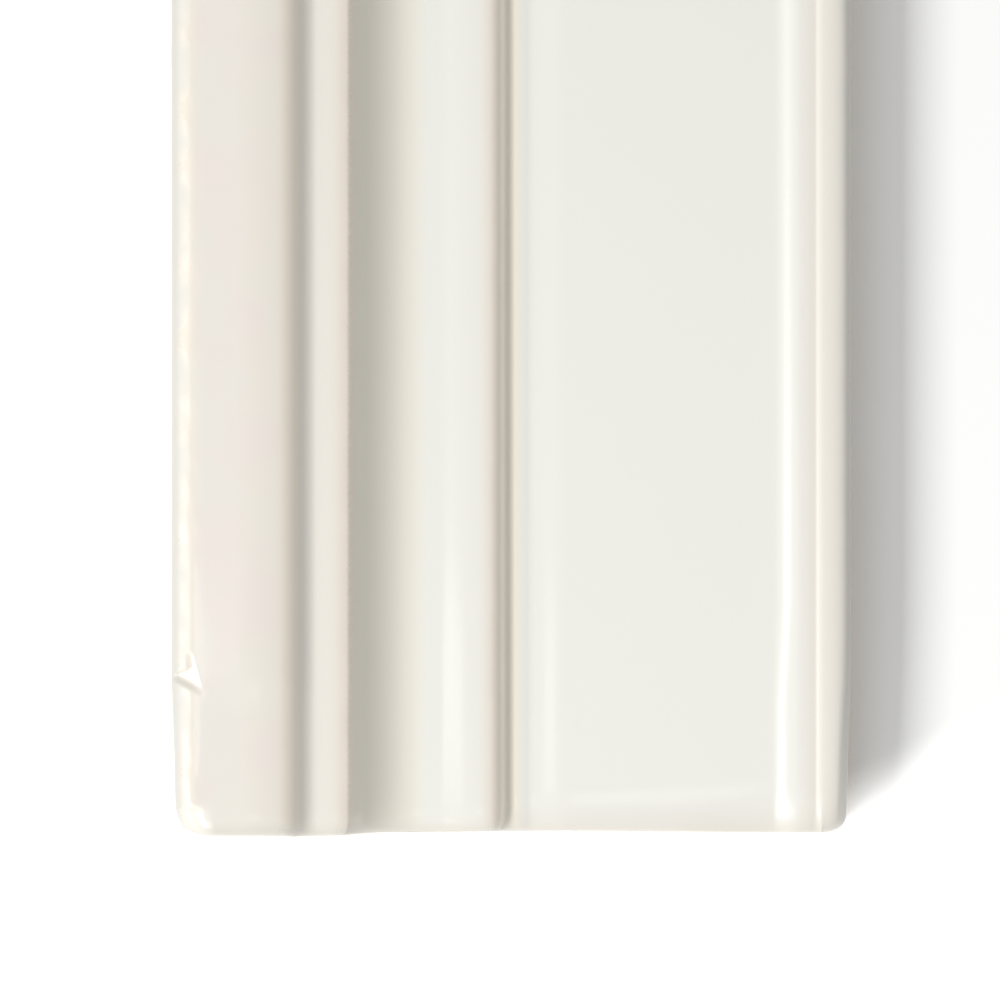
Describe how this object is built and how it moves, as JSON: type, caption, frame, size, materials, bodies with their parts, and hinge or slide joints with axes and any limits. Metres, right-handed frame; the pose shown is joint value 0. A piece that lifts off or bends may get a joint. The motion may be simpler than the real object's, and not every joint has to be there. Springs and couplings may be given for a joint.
{
  "type": "ogee trim tile",
  "caption": "Gloss-glazed off-white ogee trim tile: a raised band and narrow listel drop through a cove and rolled crest to a flat field with a low beaded rim.",
  "frame": {"origin": "centre of the tile's box on the back, the face that is bedded on the wall", "axes": "+X across the mouldings from the thick band to the thin rim, +Y along the length, +Z out of the back towards the glazed face"},
  "size_m": [0.0762, 0.1524, 0.0191],
  "materials": {
    "glazed_tile": "gloss off-white glaze over a fired buff body, bare on the back"
  },
  "bodies": {
    "root": {"ogee_trim_tile": "glazed_tile"}
  },
  "joints": []
}
